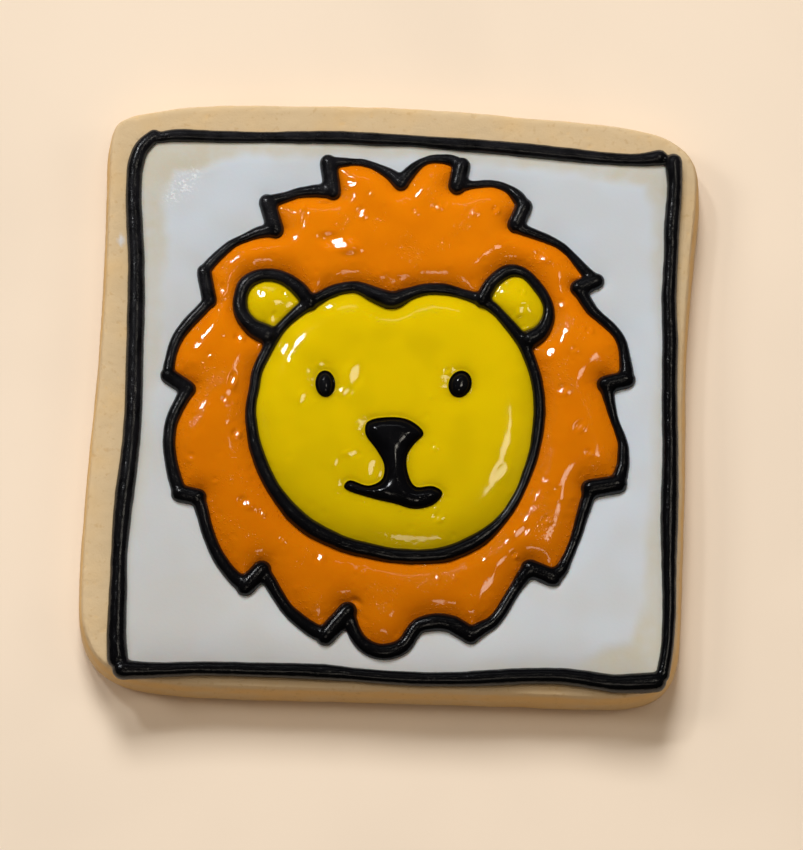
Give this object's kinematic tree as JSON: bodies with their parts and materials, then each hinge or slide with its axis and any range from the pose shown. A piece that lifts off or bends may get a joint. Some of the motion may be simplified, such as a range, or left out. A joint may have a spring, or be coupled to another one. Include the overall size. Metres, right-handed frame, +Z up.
{
  "type": "iced sugar cookie",
  "caption": "Square iced sugar biscuit: baked dough slab with raised piped outlines and flooded icing that draw a lion's head on a white ground. Lies flat on its baked underside.",
  "frame": {"origin": "on the table, under the middle of the biscuit", "axes": "+Z up through the biscuit's thickness, +Y towards the top of the picture, +X to the picture's right"},
  "size_m": [0.0904, 0.0924, 0.0095],
  "materials": {
    "baked_dough": "matte baked crumb",
    "white_icing": "satin set icing",
    "black_icing": "satin set icing",
    "orange_icing": "glossy set icing",
    "yellow_icing": "glossy set icing"
  },
  "bodies": {
    "root": {"biscuit": "baked_dough", "white_icing": "white_icing", "frame_piping": "black_icing", "mane_icing": "orange_icing", "mane_piping": "black_icing", "face_icing": "yellow_icing", "head_piping": "black_icing", "ear_icing_left": "yellow_icing", "ear_icing_right": "yellow_icing", "eye_left": "black_icing", "eye_right": "black_icing", "nose_mouth": "black_icing"}
  },
  "joints": []
}
